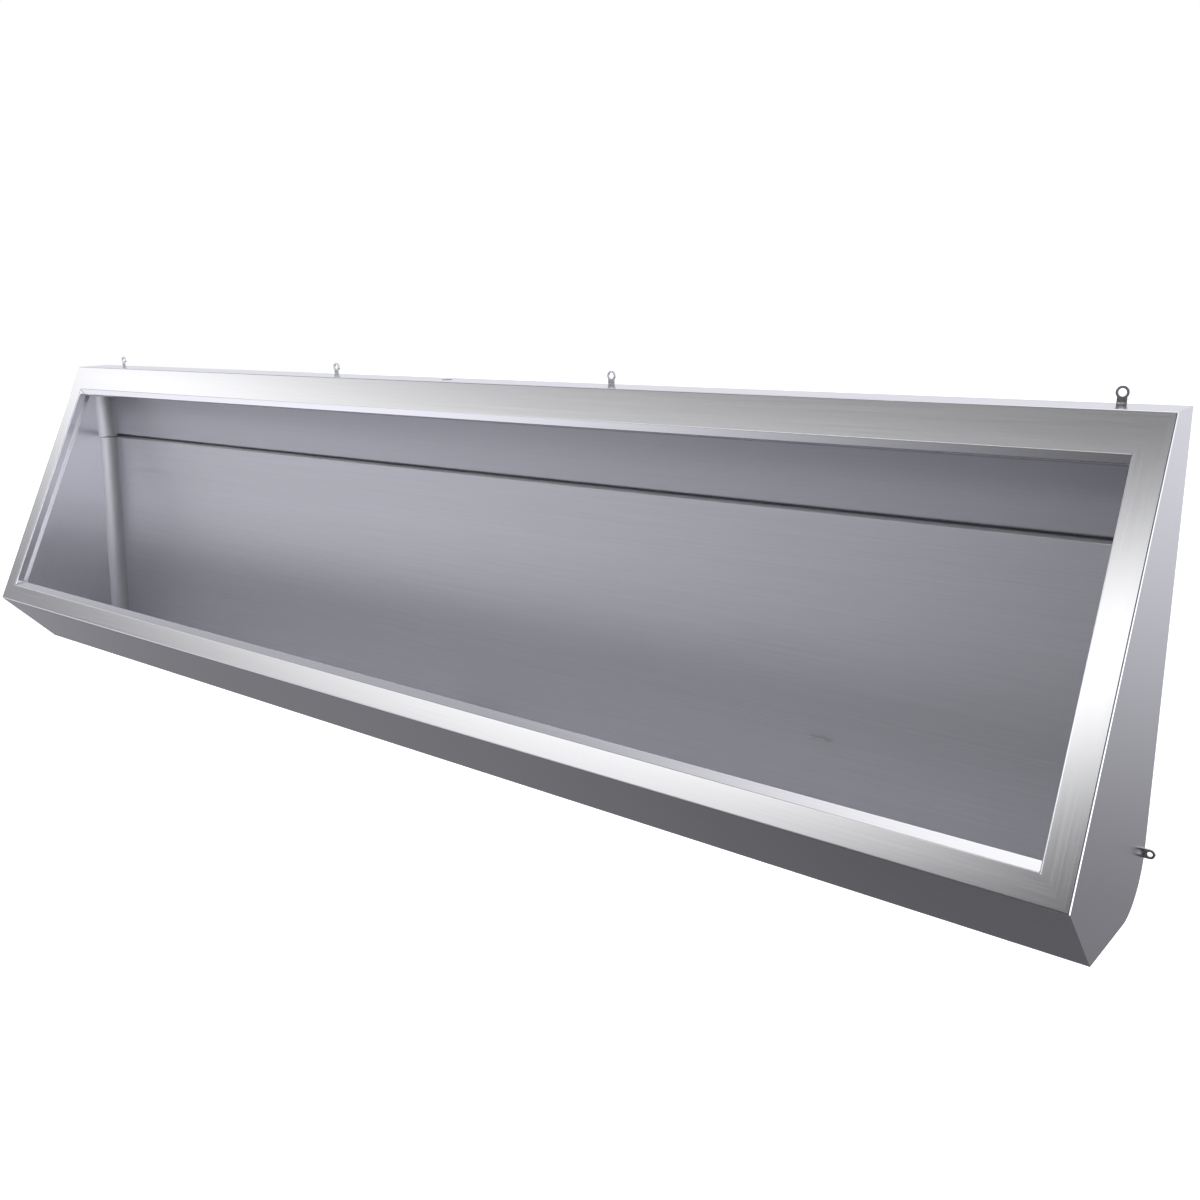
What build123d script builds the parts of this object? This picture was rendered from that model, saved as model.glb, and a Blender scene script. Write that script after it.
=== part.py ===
from build123d import *
import math
import os

os.makedirs("parts", exist_ok=True)

# Millimetres. X runs along the trough, the wall is the plane Y = 0 and the viewer stands at -Y.
# Z is up from the line through the eyes of the top fixing lugs, where the origin lies at mid-length.

# Overall sizes
overall_length = 2400.0
overall_height = 627.0  # from the apron's lower edge up to the ledge
ledge_depth = 72.0
face_tilt = 27.5  # degrees that the face leans back from upright
face_length = 572.0  # down the slope
apron_foot_depth = 228.0  # from the wall to the apron's lower edge

# Sheet
sheet = 1.2
bend = 2.5  # outer radius of a folded edge
fold_land = 6.0  # width along a folded edge that comes with the fold

# Face frame
top_rail_width = 54.0
bottom_rail_width = 35.0
stile_width = 40.0
bevel_angle = 30.0  # degrees that the rails' lips turn in from the face
top_bevel_width = 12.0
bottom_bevel_width = 16.0
stile_lip = 15.5  # straight back from the face
stile_lip_end = 9.0  # the rest of the lip, which leans into the opening
stile_lip_lean = 12.0  # degrees
lip_return = 7.0
apron_flange = 25.0

# Trough
floor_fall = 6.5  # degrees down towards the wall
pan_clearance = 1.0  # from the apron's fold back to the floor's front edge
heel_radius = 34.0
back_lean = 4.2  # degrees that the back leans forward on its way down
back_setback = 16.0  # from the wall to the top of the back
nose_drop = 172.0  # from the ledge down to the foot of the back's rolled nose
nose_width = 6.0
tray_upstand = 22.0
end_heel_radius = 72.0
cove_radius = 34.0
cove_land = 4.0  # the cove's edges stop this far short of their tangent lines
cove_joint = 3.0  # from the foot of the back's nose up to the upper strip

# Header and the sheet at the wall
header_setback = 18.0
header_drop = 161.0  # from the ledge down to the header's lower edge
header_flange = 12.0
wall_sheet_drop = 190.0

# Top fixing lugs and side ears
lug_thickness = 3.0
eye_above_ledge = 13.0
eye_radius = 5.0
eye_rim = 8.0
lug_neck = 12.0
lug_foot_width = 30.0
lug_foot = 28.0  # below the ledge
outer_lug_inset = 79.0  # from the outside of the end panel to the lug's eye
inner_lug_spacing = 684.0
notch_clearance = 0.3
ear_height = 50.0  # above the apron's lower edge
ear_rim = 6.5
ear_eye_radius = 3.5
ear_reach = 7.0  # from the end panel out to the ear's eye

# Heel brackets
bracket_thickness = 3.0
bracket_width = 40.0
bracket_wall_leg = 70.0
bracket_pan_leg = 60.0
bracket_height = 50.0  # of its arm, above the apron's lower edge
bracket_bend = 4.5
bracket_inset = 450.0  # from the outside of the end panel to the bracket's middle
bracket_hole_radius = 4.5
bracket_hole_spacing = 30.0

# Flush pipe
pipe_radius = 6.0
pipe_wall = 1.0
pipe_setback = 9.2
pipe_drop = 55.0  # below the ledge
pipe_end_gap = 25.0
jet_radius = 1.0
jet_count = 24
jet_end_gap = 58.3  # from the pipe's end to the first jet
jet_angle = 45.0  # degrees below straight ahead
cap_length = 12.0
cap_wall = 1.0
pipe_clearance = 0.1

# Clips of the flush pipe
clip_count = 6
clip_end_gap = 173.8  # from the pipe's end to the first clip
clip_width = 15.0
clip_wall = 0.8
clip_clearance = 0.3
clip_foot_height = 40.0
rivet_radius = 1.6
rivet_head_radius = 3.2
rivet_head = 1.0
rivet_spacing = 30.0
rivet_clearance = 0.1

# Water inlet
inlet_setback = 36.0
socket_radius = 13.5
socket_bore = 9.5
socket_height = 16.0
socket_floor = 3.0
elbow_bend = 12.0
grommet_radius = 9.5
grommet_lip = 1.5
grommet_wall = 1.2
grommet_clearance = 0.1

# Waste
waste_setback = 132.0
cup_radius = 44.0
cup_depth = 26.0  # below the apron's lower edge
cup_hole_clearance = 0.15
spigot_radius = 23.9
waste_bore = 19.0
waste_flange_radius = 34.0
waste_flange = 2.0
gasket = 2.0
thread_clearance = 0.1
nut_radius = 32.0
nut_height = 8.0
nut_lug_count = 6
nut_lug_reach = 3.0
nut_lug_width = 9.0
thread_end = 0.5  # of the spigot, below the nut
tail_radius = 20.0
tail_length = 8.0

# Strainer
strainer_radius = 27.0
strainer_plate = 2.0
skirt_height = 9.0
skirt_wall = 1.2
strainer_clearance = 0.5
knob_radius = 6.0
knob_height = 9.0
knob_neck = 3.0
outer_ring_radius = 13.8
outer_ring_count = 12
outer_hole_radius = 2.4
inner_ring_radius = 8.5
inner_ring_count = 6
inner_hole_radius = 2.0
strainer_edge = 0.8  # rounding of the plate's rim
knob_edge = 1.5

# Gussets in the top rail
gusset_thickness = 2.0
gusset_reach = 36.0  # down the inside of the rail
gusset_clip = 3.0
gusset_count = 4
gusset_end_gap = 448.8  # from the inside of the end panel to the first gusset

# Stiffeners and sound-deadening pads under the floor
hat_flange = 10.0
hat_width = 20.0  # across its foot
hat_height = 12.0
hat_taper = 2.0
hat_bend = 1.5
hat_length = 105.0
hat_gap = 3.0  # from the apron's flange
inner_hat_spacing = 500.0
outer_hat_inset = 350.0  # from the outside of the end panel to the channel's middle
pad_width = 90.0
pad_thickness = 3.0
pad_gap = 70.0  # from a pad's ends to the feet of the stiffeners beside it
pad_corner = 8.0

# Earthing point
earth_inset = 120.0  # from the outside of the left end panel
earth_setback = 150.0
tag_width = 20.0
tag_height = 26.0
tag_thickness = 2.0
tag_eye_drop = 15.6  # below the floor
stud_radius = 3.0
stud_length = 16.0
stud_clearance = 0.1
hex_radius = 5.8
hex_height = 4.5
washer_radius = 6.2
washer_thickness = 1.6


def step(point, angle, distance):
    """Point in the side view at a distance from another, the angle in degrees up from +Y."""
    return (
        point[0] + distance * math.cos(math.radians(angle)),
        point[1] + distance * math.sin(math.radians(angle)),
    )


def meet(point, angle, other, other_angle):
    """Point in the side view where two lines meet, each given by a point and an angle."""
    along = (math.cos(math.radians(angle)), math.sin(math.radians(angle)))
    across = (-math.sin(math.radians(other_angle)), math.cos(math.radians(other_angle)))
    gap = (other[0] - point[0]) * across[0] + (other[1] - point[1]) * across[1]
    return step(point, angle, gap / (along[0] * across[0] + along[1] * across[1]))


def lying(point, angle, x=0.0):
    """Plane through a point of the side view: its x runs along X and its y along the angle."""
    run = (0, math.cos(math.radians(angle)), math.sin(math.radians(angle)))
    return Plane(origin=(x, *point), x_dir=(1, 0, 0), z_dir=Vector(1, 0, 0).cross(Vector(run)))


def crossing(point, angle, x=0.0):
    """Plane through a point of the side view that the angle's direction pierces, its x along X."""
    run = (0, math.cos(math.radians(angle)), math.sin(math.radians(angle)))
    return Plane(origin=(x, *point), x_dir=(1, 0, 0), z_dir=run)


def folded(path, plane, radius=bend, thickness=sheet, side=Side.LEFT):
    """Section of a folded sheet, from the path of one of its surfaces."""
    with BuildSketch(plane) as section:
        with BuildLine():
            FilletPolyline(*path, radius=radius)
            offset(amount=thickness, side=side)
        make_face()
    return section.sketch


# Side view: angles and corner points
half_length = overall_length / 2
inner_half = half_length - sheet
ledge_z = -eye_above_ledge
foot_z = ledge_z - overall_height
down_face = 270 - face_tilt
into_face = down_face + 90
up_face = down_face + 180
ledge_front = (-ledge_depth, ledge_z)
opening_top = step(ledge_front, down_face, top_rail_width)
face_foot = step(ledge_front, down_face, face_length)
opening_foot = step(ledge_front, down_face, face_length - bottom_rail_width)
apron_foot = (-apron_foot_depth, foot_z)

underside = -floor_fall
pan_underside = step(apron_foot, 90 + underside, sheet)
floor_front = step(pan_underside, 90 + underside, sheet)
down_back = 270 - back_lean
up_back = down_back + 180
nose_foot = (-back_setback, ledge_z - nose_drop)
heel = meet(floor_front, underside, nose_foot, down_back)
nose_top = step(nose_foot, 45, nose_width)
header_foot_z = ledge_z - header_drop
pipe_z = ledge_z - pipe_drop
cup_floor_z = foot_z - cup_depth
waste_seat_z = cup_floor_z + sheet + gasket
strainer_seat_z = waste_seat_z + waste_flange
outer_lug = half_length - outer_lug_inset
inner_lug = inner_lug_spacing / 2
lug_places = [-outer_lug, -inner_lug, inner_lug, outer_lug]
pipe_end = inner_half - pipe_end_gap


def carcass_outline():
    """Outline of the whole body in side view, as the end panels are cut."""
    heel_corner = meet(apron_foot, underside, (0, foot_z), 90)
    with BuildSketch(Plane.YZ) as outline:
        with BuildLine():
            FilletPolyline(
                (0, ledge_z),
                ledge_front,
                face_foot,
                apron_foot,
                heel_corner,
                radius=[0, bend, bend, bend, end_heel_radius],
                close=True,
            )
        make_face()
    return outline.sketch


def stile_region(hand, lip_reach=0.0):
    """Part of the face that belongs to one stile, with the mitres to both rails and room for its lip."""
    outer = half_length + 1
    inner = half_length - stile_width
    top = -top_rail_width
    foot = -(face_length - bottom_rail_width)
    top_mitre = -sheet * top_rail_width / stile_width
    foot_mitre = -(face_length - sheet * bottom_rail_width / stile_width)
    corners = [(outer, 1), (inner_half, 1), (inner_half, top_mitre), (inner, top)]
    if lip_reach:
        corners += [(inner - lip_reach, top), (inner - lip_reach, foot)]
    corners += [(inner, foot), (inner_half, foot_mitre), (inner_half, -face_length - 1), (outer, -face_length - 1)]
    with BuildSketch(lying(ledge_front, up_face)) as region:
        with BuildLine():
            Polyline(*[(hand * x, y) for x, y in corners], close=True)
        make_face()
    return region.sketch


# Top rail: ledge, rail and lip in one folded sheet
bevel_foot = step(opening_top, down_face + bevel_angle, top_bevel_width)
top_rail_path = [
    (-sheet, ledge_z),
    ledge_front,
    opening_top,
    bevel_foot,
    step(bevel_foot, into_face, lip_return),
]
with BuildPart() as top_rail:
    extrude(to_extrude=folded(top_rail_path, Plane.YZ), amount=inner_half, both=True)
    for hand in (1, -1):
        extrude(to_extrude=stile_region(hand), amount=stile_width, both=True, mode=Mode.SUBTRACT)
    with BuildSketch(Plane.XY.offset(ledge_z)):
        with Locations(*[(x, 0) for x in lug_places]):
            Rectangle(lug_neck + 2 * notch_clearance, 2 * (lug_thickness + notch_clearance))
        with Locations((0, -inlet_setback)):
            Circle(socket_bore)
    extrude(amount=-2 * sheet, mode=Mode.SUBTRACT)
top_rail.part.label = "top_rail"
export_step(top_rail.part, "parts/top_rail.step")

# Front apron: lip, bottom rail and apron in one folded sheet, with a flange under the floor
lip_foot = step(opening_foot, up_face - bevel_angle, bottom_bevel_width)
apron_path = [
    step(lip_foot, into_face, lip_return),
    lip_foot,
    opening_foot,
    face_foot,
    apron_foot,
    step(apron_foot, underside, apron_flange),
]
with BuildPart() as front_apron:
    extrude(to_extrude=folded(apron_path, Plane.YZ), amount=inner_half, both=True)
    for hand in (1, -1):
        extrude(to_extrude=stile_region(hand), amount=stile_width, both=True, mode=Mode.SUBTRACT)
front_apron.part.label = "front_apron"
export_step(front_apron.part, "parts/front_apron.step")


# End panels: each an end sheet with the stile and its lip folded on
with BuildPart() as carcass:
    extrude(to_extrude=carcass_outline(), amount=half_length, both=True)


def end_sheet(hand):
    """Flat end sheet, short of the fold along its sloping front edge."""
    with BuildPart() as flat:
        add(carcass.part)
        with BuildSketch(lying(ledge_front, up_face)):
            with Locations((0, -face_length / 2)):
                Rectangle(overall_length + 2, face_length)
        extrude(amount=-fold_land, mode=Mode.SUBTRACT)
        split(bisect_by=Plane.YZ.offset(hand * inner_half), keep=Keep.TOP if hand > 0 else Keep.BOTTOM)
    return flat.part


def end_panel(hand):
    """End sheet, fold, stile and the lip behind its inner edge, cut to the mitres."""
    stile_inner = half_length - stile_width
    lip_reach = stile_lip_end * math.sin(math.radians(stile_lip_lean))
    lip_depth = stile_lip + stile_lip_end * math.cos(math.radians(stile_lip_lean))
    path = [
        (half_length, -2 * fold_land),
        (half_length, 0),
        (stile_inner, 0),
        (stile_inner, -stile_lip),
        (stile_inner - lip_reach, -lip_depth),
    ]
    handed = [(hand * x, y) for x, y in path]
    side = Side.LEFT if hand > 0 else Side.RIGHT
    with BuildPart() as panel:
        extrude(to_extrude=folded(handed, crossing(ledge_front, down_face), side=side), amount=face_length)
        region = stile_region(hand, lip_reach + sheet)
        extrude(to_extrude=region, amount=stile_width, both=True, mode=Mode.INTERSECT)
        add(end_sheet(hand))
        add(carcass.part, mode=Mode.INTERSECT)
    return panel.part


for name, hand in (("left_end_panel", -1), ("right_end_panel", 1)):
    panel = end_panel(hand)
    panel.label = name
    export_step(panel, f"parts/{name}.step")

# Trough pan: floor, rounded heel, leaning back, rolled nose and a shelf back to the wall sheet
pan_path = [
    step(floor_front, underside, pan_clearance),
    heel,
    nose_foot,
    nose_top,
    (-2 * sheet, nose_top[1]),
    (-2 * sheet, nose_top[1] + tray_upstand),
]
with BuildPart() as trough_pan:
    pan_section = folded(pan_path, Plane.YZ, radius=[heel_radius, bend, bend, bend], side=Side.RIGHT)
    extrude(to_extrude=pan_section, amount=inner_half, both=True)
    with BuildSketch(Plane.XY.offset(cup_floor_z)):
        with Locations((0, -waste_setback)):
            Circle(cup_radius + cup_hole_clearance)
    extrude(amount=2 * cup_depth, mode=Mode.SUBTRACT)
trough_pan.part.label = "trough_pan"
export_step(trough_pan.part, "parts/trough_pan.step")

# Header panel in front of the flush pipe, its top edge folded back under the ledge
header_path = [
    (-header_setback, header_foot_z),
    (-header_setback, ledge_z - sheet),
    (header_flange - header_setback, ledge_z - sheet),
]
grommet_hole = pipe_radius + grommet_clearance + grommet_wall + grommet_clearance
with BuildPart() as header_panel:
    extrude(to_extrude=folded(header_path, Plane.YZ, side=Side.RIGHT), amount=inner_half, both=True)
    with BuildSketch(Plane.XZ):
        with Locations((0, pipe_z)):
            Circle(grommet_hole)
    extrude(amount=2 * header_setback, mode=Mode.SUBTRACT)
header_panel.part.label = "header_panel"
export_step(header_panel.part, "parts/header_panel.step")

# Gussets between the ledge, the inside of the top rail and the header
gusset_pitch = 2 * (inner_half - gusset_end_gap) / (gusset_count - 1)
rail_inside = meet((0, ledge_z - sheet), 180, step(ledge_front, into_face, sheet), down_face)
gusset_toe = step(rail_inside, down_face, gusset_reach)
with BuildPart() as one_gusset:
    with BuildSketch(Plane.YZ):
        with BuildLine():
            Polyline(
                (-header_setback, ledge_z - sheet),
                (rail_inside[0] + gusset_clip, ledge_z - sheet),
                step(rail_inside, down_face, gusset_clip),
                gusset_toe,
                (-header_setback, gusset_toe[1]),
                close=True,
            )
        make_face()
    extrude(amount=gusset_thickness / 2, both=True)
with BuildPart() as ledge_gussets:
    with GridLocations(gusset_pitch, 1, gusset_count, 1):
        add(one_gusset.part)
ledge_gussets.part.label = "ledge_gussets"
export_step(ledge_gussets.part, "parts/ledge_gussets.step")

# Wall sheet that closes the header's rear, notched for the lugs and drilled for the clips' rivets
clip_pitch = 2 * (pipe_end - clip_end_gap) / (clip_count - 1)
notch_width = lug_foot_width + 2 * notch_clearance
notch_height = sheet + lug_foot + notch_clearance
with BuildPart() as wall_sheet:
    with BuildSketch(Plane.XZ):
        with Locations((0, ledge_z)):
            Rectangle(2 * inner_half, wall_sheet_drop, align=(Align.CENTER, Align.MAX))
        with Locations(*[(x, ledge_z) for x in lug_places]):
            Rectangle(notch_width, notch_height, align=(Align.CENTER, Align.MAX), mode=Mode.SUBTRACT)
        with Locations((0, pipe_z)):
            with GridLocations(clip_pitch, rivet_spacing, clip_count, 2):
                Circle(rivet_radius + rivet_clearance, mode=Mode.SUBTRACT)
    extrude(amount=sheet)
wall_sheet.part.label = "wall_sheet"
export_step(wall_sheet.part, "parts/wall_sheet.step")


def cove_section(plane, hand):
    """Section of a coved corner strip, seen down the corner, with the viewer's side up."""
    with BuildSketch(plane) as section:
        with Locations((hand * (inner_half - cove_radius), cove_radius)):
            Circle(cove_radius + sheet)
            Circle(cove_radius, mode=Mode.SUBTRACT)
        with Locations((hand * inner_half, 0)):
            reach = cove_radius - cove_land
            edge = Align.MAX if hand > 0 else Align.MIN
            Rectangle(reach, reach, align=(edge, Align.MIN), mode=Mode.INTERSECT)
    return section.sketch


def corner_cove(hand):
    """Two strips in one corner, in front of the header and in front of the leaning back."""
    with BuildSketch(Plane.YZ) as inside:
        with BuildLine():
            FilletPolyline(
                floor_front,
                heel,
                nose_foot,
                (floor_front[0], nose_foot[1]),
                radius=[0, heel_radius, 0, 0],
                close=True,
            )
        make_face()
    with BuildPart() as strips:
        extrude(to_extrude=cove_section(crossing(nose_foot, down_back), hand), amount=overall_height)
        extrude(to_extrude=inside.sketch, amount=half_length, both=True, mode=Mode.INTERSECT)
        upper = cove_section(crossing((-header_setback, ledge_z - sheet), 270), hand)
        extrude(to_extrude=upper, amount=nose_drop - sheet - cove_joint)
    return strips.part


for name, hand in (("left_corner_cove", -1), ("right_corner_cove", 1)):
    cove = corner_cove(hand)
    cove.label = name
    export_step(cove, f"parts/{name}.step")

# Fixing lugs: eyed plates welded into notches of the wall sheet and the ledge, their backs at the wall
with BuildPart() as fixing_lugs:
    with BuildSketch(Plane.XZ):
        for x in lug_places:
            with Locations((x, 0)):
                Circle(eye_rim)
                Rectangle(lug_neck, eye_above_ledge + sheet, align=(Align.CENTER, Align.MAX))
            with Locations((x, ledge_z - sheet)):
                Rectangle(lug_foot_width, lug_foot, align=(Align.CENTER, Align.MAX))
            with Locations((x, 0)):
                Circle(eye_radius, mode=Mode.SUBTRACT)
    extrude(amount=lug_thickness)
fixing_lugs.part.label = "fixing_lugs"
export_step(fixing_lugs.part, "parts/fixing_lugs.step")

# Side ears: low at the wall, one beyond each end panel
with BuildPart() as side_ears:
    with BuildSketch(Plane.XZ):
        for hand in (1, -1):
            with Locations((hand * half_length, foot_z + ear_height)):
                edge = Align.MIN if hand > 0 else Align.MAX
                Rectangle(ear_reach, 2 * ear_rim, align=(edge, Align.CENTER))
            with Locations((hand * (half_length + ear_reach), foot_z + ear_height)):
                Circle(ear_rim)
                Circle(ear_eye_radius, mode=Mode.SUBTRACT)
    extrude(amount=lug_thickness)
side_ears.part.label = "side_ears"
export_step(side_ears.part, "parts/side_ears.step")

# Heel brackets: bent straps between the back of the pan and the wall
bracket_x = half_length - bracket_inset
back_rear = step(nose_foot, down_back + 90, sheet)
bracket_z = foot_z + bracket_height
pan_corner = meet((0, bracket_z), 180, back_rear, down_back)
bracket_path = [
    (0, bracket_z + bracket_wall_leg),
    (0, bracket_z),
    pan_corner,
    step(pan_corner, up_back, bracket_pan_leg),
]
with BuildPart() as heel_brackets:
    for hand in (1, -1):
        middle = Plane.YZ.offset(hand * bracket_x)
        strap = folded(bracket_path, middle, bracket_bend, bracket_thickness, Side.RIGHT)
        extrude(to_extrude=strap, amount=bracket_width / 2, both=True)
    with BuildSketch(Plane.XZ):
        with Locations((0, bracket_z + bracket_wall_leg - bracket_hole_spacing)):
            with GridLocations(2 * bracket_x, bracket_hole_spacing, 2, 2):
                Circle(bracket_hole_radius)
    extrude(amount=bracket_thickness, mode=Mode.SUBTRACT)
heel_brackets.part.label = "heel_brackets"
export_step(heel_brackets.part, "parts/heel_brackets.step")

# Flush pipe with a row of jets and the inlet's hole in front
pipe_axis = (-pipe_setback, pipe_z)
jet_pitch = 2 * (pipe_end - jet_end_gap) / (jet_count - 1)
with BuildPart() as flush_pipe:
    with BuildSketch(Plane.YZ):
        with Locations(pipe_axis):
            Circle(pipe_radius)
            Circle(pipe_radius - pipe_wall, mode=Mode.SUBTRACT)
    extrude(amount=pipe_end, both=True)
    with BuildSketch(lying(pipe_axis, 270 - jet_angle)):
        with GridLocations(jet_pitch, 1, jet_count, 1):
            Circle(jet_radius)
    extrude(amount=-2 * pipe_radius, mode=Mode.SUBTRACT)
    with BuildSketch(lying(pipe_axis, 90)):
        Circle(pipe_radius - pipe_wall)
    extrude(amount=2 * pipe_radius, mode=Mode.SUBTRACT)
flush_pipe.part.label = "flush_pipe"
export_step(flush_pipe.part, "parts/flush_pipe.step")

# End caps of the flush pipe
with BuildPart() as pipe_end_caps:
    for hand in (1, -1):
        with BuildSketch(Plane.YZ.offset(hand * (pipe_end + cap_wall))):
            with Locations(pipe_axis):
                Circle(pipe_radius + pipe_clearance + cap_wall)
        extrude(amount=-hand * cap_length)
        with BuildSketch(Plane.YZ.offset(hand * pipe_end)):
            with Locations(pipe_axis):
                Circle(pipe_radius + pipe_clearance)
        extrude(amount=-hand * cap_length, mode=Mode.SUBTRACT)
pipe_end_caps.part.label = "pipe_end_caps"
export_step(pipe_end_caps.part, "parts/pipe_end_caps.step")

# Clips that carry the flush pipe on the wall sheet
clip_bore = pipe_radius + clip_clearance
with BuildPart() as one_clip:
    with BuildSketch(Plane.YZ):
        with Locations((-sheet, pipe_z)):
            Rectangle(sheet, clip_foot_height, align=(Align.MAX, Align.CENTER))
        with Locations(pipe_axis):
            Circle(clip_bore + clip_wall)
            Circle(clip_bore, mode=Mode.SUBTRACT)
    extrude(amount=clip_width / 2, both=True)
    with BuildSketch(Plane.XZ):
        with Locations((0, pipe_z)):
            with GridLocations(1, rivet_spacing, 1, 2):
                Circle(rivet_radius + rivet_clearance)
    extrude(amount=pipe_setback, mode=Mode.SUBTRACT)
with BuildPart() as pipe_clips:
    with GridLocations(clip_pitch, 1, clip_count, 1):
        add(one_clip.part)
pipe_clips.part.label = "pipe_clips"
export_step(pipe_clips.part, "parts/pipe_clips.step")

# Rivets of the clips, flush at the wall
with BuildPart() as clip_rivets:
    with BuildSketch(Plane.XZ.offset(2 * sheet)):
        with Locations((0, pipe_z)):
            with GridLocations(clip_pitch, rivet_spacing, clip_count, 2):
                Circle(rivet_head_radius)
    extrude(amount=rivet_head)
    with BuildSketch(Plane.XZ):
        with Locations((0, pipe_z)):
            with GridLocations(clip_pitch, rivet_spacing, clip_count, 2):
                Circle(rivet_radius)
    extrude(amount=2 * sheet)
clip_rivets.part.label = "clip_rivets"
export_step(clip_rivets.part, "parts/clip_rivets.step")

# Water inlet: a threaded socket welded under the ledge
socket_top_z = ledge_z - sheet
socket_foot_z = socket_top_z - socket_height
with BuildPart() as inlet_socket:
    with BuildSketch(Plane.XY.offset(socket_top_z)):
        with Locations((0, -inlet_setback)):
            Circle(socket_radius)
    extrude(amount=-socket_height)
    with BuildSketch(Plane.XY.offset(socket_top_z)):
        with Locations((0, -inlet_setback)):
            Circle(socket_bore)
    extrude(amount=socket_floor - socket_height, mode=Mode.SUBTRACT)
    with BuildSketch(Plane.XY.offset(socket_foot_z)):
        with Locations((0, -inlet_setback)):
            Circle(pipe_radius - pipe_wall)
    extrude(amount=socket_height, mode=Mode.SUBTRACT)
inlet_socket.part.label = "inlet_socket"
export_step(inlet_socket.part, "parts/inlet_socket.step")

# Bent tube from the socket through the header to the flush pipe
with BuildPart() as inlet_elbow:
    elbow_path = [(-inlet_setback, socket_foot_z), (-inlet_setback, pipe_z), pipe_axis]
    with BuildLine(Plane.YZ):
        FilletPolyline(*elbow_path, radius=elbow_bend)
    with BuildSketch(Plane.XY.offset(socket_foot_z)):
        with Locations((0, -inlet_setback)):
            Circle(pipe_radius)
            Circle(pipe_radius - pipe_wall, mode=Mode.SUBTRACT)
    sweep()
    with BuildSketch(Plane.YZ):
        with Locations(pipe_axis):
            Circle(pipe_radius + pipe_clearance)
    extrude(amount=2 * pipe_radius, both=True, mode=Mode.SUBTRACT)
inlet_elbow.part.label = "inlet_elbow"
export_step(inlet_elbow.part, "parts/inlet_elbow.step")

# Rubber grommet around the tube, in the header's hole
grommet_bore = pipe_radius + grommet_clearance
with BuildPart() as inlet_grommet:
    with BuildSketch(Plane.XZ.offset(header_setback)):
        with Locations((0, pipe_z)):
            Circle(grommet_radius)
            Circle(grommet_bore, mode=Mode.SUBTRACT)
    extrude(amount=grommet_lip)
    with BuildSketch(Plane.XZ.offset(header_setback)):
        with Locations((0, pipe_z)):
            Circle(grommet_bore + grommet_wall)
            Circle(grommet_bore, mode=Mode.SUBTRACT)
    extrude(amount=-sheet)
inlet_grommet.part.label = "inlet_grommet"
export_step(inlet_grommet.part, "parts/inlet_grommet.step")


def disc(radius, z, height, bore=0.0):
    """Upright round solid on the waste's axis, with an optional bore."""
    with BuildPart() as solid:
        with BuildSketch(Plane.XY.offset(z)):
            with Locations((0, -waste_setback)):
                Circle(radius)
                if bore:
                    Circle(bore, mode=Mode.SUBTRACT)
        extrude(amount=height)
    return solid.part


# Waste cup welded into the floor, its rim cut to the floor's slope
spigot_hole = spigot_radius + cup_hole_clearance
with BuildPart() as waste_cup:
    add(disc(cup_radius, cup_floor_z, 2 * cup_depth, bore=spigot_hole))
    add(disc(cup_radius - sheet, cup_floor_z + sheet, 2 * cup_depth), mode=Mode.SUBTRACT)
    split(bisect_by=lying(floor_front, underside), keep=Keep.BOTTOM)
waste_cup.part.label = "waste_cup"
export_step(waste_cup.part, "parts/waste_cup.step")

# Waste: flanged spigot with a plain tail, its gasket, washer and lugged backnut
nut_foot_z = cup_floor_z - gasket - nut_height
spigot_foot_z = nut_foot_z - thread_end
with BuildPart() as waste_body:
    add(disc(waste_flange_radius, waste_seat_z, waste_flange, bore=waste_bore))
    add(disc(spigot_radius, spigot_foot_z, waste_seat_z - spigot_foot_z, bore=waste_bore))
    add(disc(tail_radius, spigot_foot_z - tail_length, tail_length, bore=waste_bore))
waste_body.part.label = "waste_body"
export_step(waste_body.part, "parts/waste_body.step")

with BuildPart() as waste_gasket:
    add(disc(waste_flange_radius, cup_floor_z + sheet, gasket, bore=spigot_hole))
waste_gasket.part.label = "waste_gasket"
export_step(waste_gasket.part, "parts/waste_gasket.step")

with BuildPart() as waste_washer:
    add(disc(nut_radius, cup_floor_z - gasket, gasket, bore=spigot_hole))
waste_washer.part.label = "waste_washer"
export_step(waste_washer.part, "parts/waste_washer.step")

with BuildPart() as waste_backnut:
    nut_bore = spigot_radius + thread_clearance
    nut_root = nut_radius - nut_lug_reach
    add(disc(nut_root, nut_foot_z, nut_height, bore=nut_bore))
    with BuildSketch(Plane.XY.offset(nut_foot_z)):
        with Locations((0, -waste_setback)):
            with PolarLocations(nut_root, nut_lug_count):
                Rectangle(2 * nut_lug_reach, nut_lug_width)
            Circle(nut_bore, mode=Mode.SUBTRACT)
    extrude(amount=nut_height)
waste_backnut.part.label = "waste_backnut"
export_step(waste_backnut.part, "parts/waste_backnut.step")

# Strainer: perforated plate that lies on the waste's flange
with BuildPart() as waste_strainer:
    add(disc(strainer_radius, strainer_seat_z, strainer_plate))
    with BuildSketch(Plane.XY.offset(strainer_seat_z)):
        with Locations((0, -waste_setback)):
            with PolarLocations(outer_ring_radius, outer_ring_count):
                Circle(outer_hole_radius)
            with PolarLocations(inner_ring_radius, inner_ring_count):
                Circle(inner_hole_radius)
    extrude(amount=strainer_plate, mode=Mode.SUBTRACT)
    top_edges = waste_strainer.edges().filter_by(GeomType.CIRCLE).group_by(Axis.Z)[-1]
    fillet(top_edges.sort_by(SortBy.RADIUS)[-1], strainer_edge)
waste_strainer.part.label = "waste_strainer"
export_step(waste_strainer.part, "parts/waste_strainer.step")

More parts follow.
